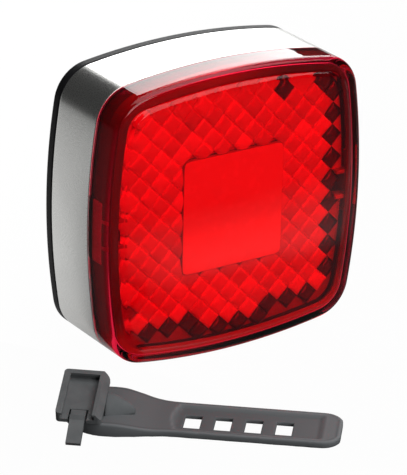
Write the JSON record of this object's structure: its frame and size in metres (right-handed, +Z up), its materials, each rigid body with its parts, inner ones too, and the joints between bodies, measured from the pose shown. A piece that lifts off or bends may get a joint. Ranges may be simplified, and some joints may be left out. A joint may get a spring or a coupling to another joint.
{
  "type": "bike rear light",
  "caption": "Square bike rear light with bulged sides: red prismatic lens, satin metal band and black back, with its rubber strap mount lying beside it.",
  "frame": {"origin": "centre of the bottom of the box around the lamp and its strap mount, on the surface they stand on", "axes": "+Z up, +Y from the lamp's front to its back, +X to the right of a viewer who faces the lens"},
  "size_m": [0.1025, 0.0902, 0.0754],
  "materials": {
    "lens_red": "clear red moulded lens, high gloss",
    "reflector_red": "bright red prismatic reflector plastic",
    "window_red": "smooth bright red light window",
    "band_metal": "satin metal band with soft reflections",
    "cover_black": "black moulded plastic",
    "chassis_black": "black moulded plastic, slightly glossy",
    "seal_rubber": "soft black rubber",
    "board_white": "white solder mask",
    "board_green": "green solder mask",
    "led_body": "white package with a clear dome",
    "chip_black": "black epoxy",
    "battery_can": "plain battery wrap",
    "contact_metal": "nickel plated spring steel",
    "screw_steel": "zinc plated steel",
    "screw_dark": "blackened steel",
    "rail_grey": "black moulded plastic",
    "button_rubber": "soft black rubber cap",
    "strap_rubber": "dark grey rubber, satin",
    "bracket_grey": "dark grey moulded plastic"
  },
  "bodies": {
    "lamp": {"metal_band": "band_metal", "back_cover": "cover_black", "cover_gasket": "seal_rubber", "inner_chassis": "chassis_black", "lens_seal": "seal_rubber", "led_board": "board_white", "board_screws": "screw_steel", "leds": "led_body", "board_chips": "chip_black", "battery_left": "battery_can", "battery_right": "battery_can", "spring_left": "contact_metal", "spring_right": "contact_metal", "contact_bridge": "contact_metal", "battery_contacts": "contact_metal", "switch_board": "board_green", "switch_screws": "screw_steel", "tact_switch": "chip_black", "button_seal": "seal_rubber", "cover_screws": "screw_dark", "rear_rail": "rail_grey", "rail_screws": "screw_dark"},
    "lens_unit": {"lens_cover": "lens_red", "reflector_panel": "reflector_red", "light_window": "window_red"},
    "button": {"power_button": "button_rubber"},
    "strap_mount": {"strap": "strap_rubber", "base_insert": "bracket_grey", "bracket_tray": "bracket_grey", "strap_hook": "bracket_grey", "mount_screw": "screw_steel"},
    "tongue": {"release_tongue": "bracket_grey"}
  },
  "joints": [
    {"name": "lens_pull", "type": "slide", "parent": "lamp", "child": "lens_unit", "axis": [0, -1, 0], "range_m": [0, 0.01]},
    {"name": "button_press", "type": "slide", "parent": "lamp", "child": "button", "axis": [0, -1, 0], "range_m": [0, 0.0007], "stiffness_N_per_m": 900},
    {"name": "mount_lift", "type": "slide", "parent": "lamp", "child": "strap_mount", "axis": [0, 0, 1], "range_m": [0, 0.06]},
    {"name": "tongue_flex", "type": "hinge", "parent": "strap_mount", "child": "tongue", "pos_m": [-0.04384, -0.00658, 0.00507], "axis": [0.7604, -0.6494, 0], "range_deg": [0, 8], "stiffness_Nm_per_rad": 0.05}
  ]
}
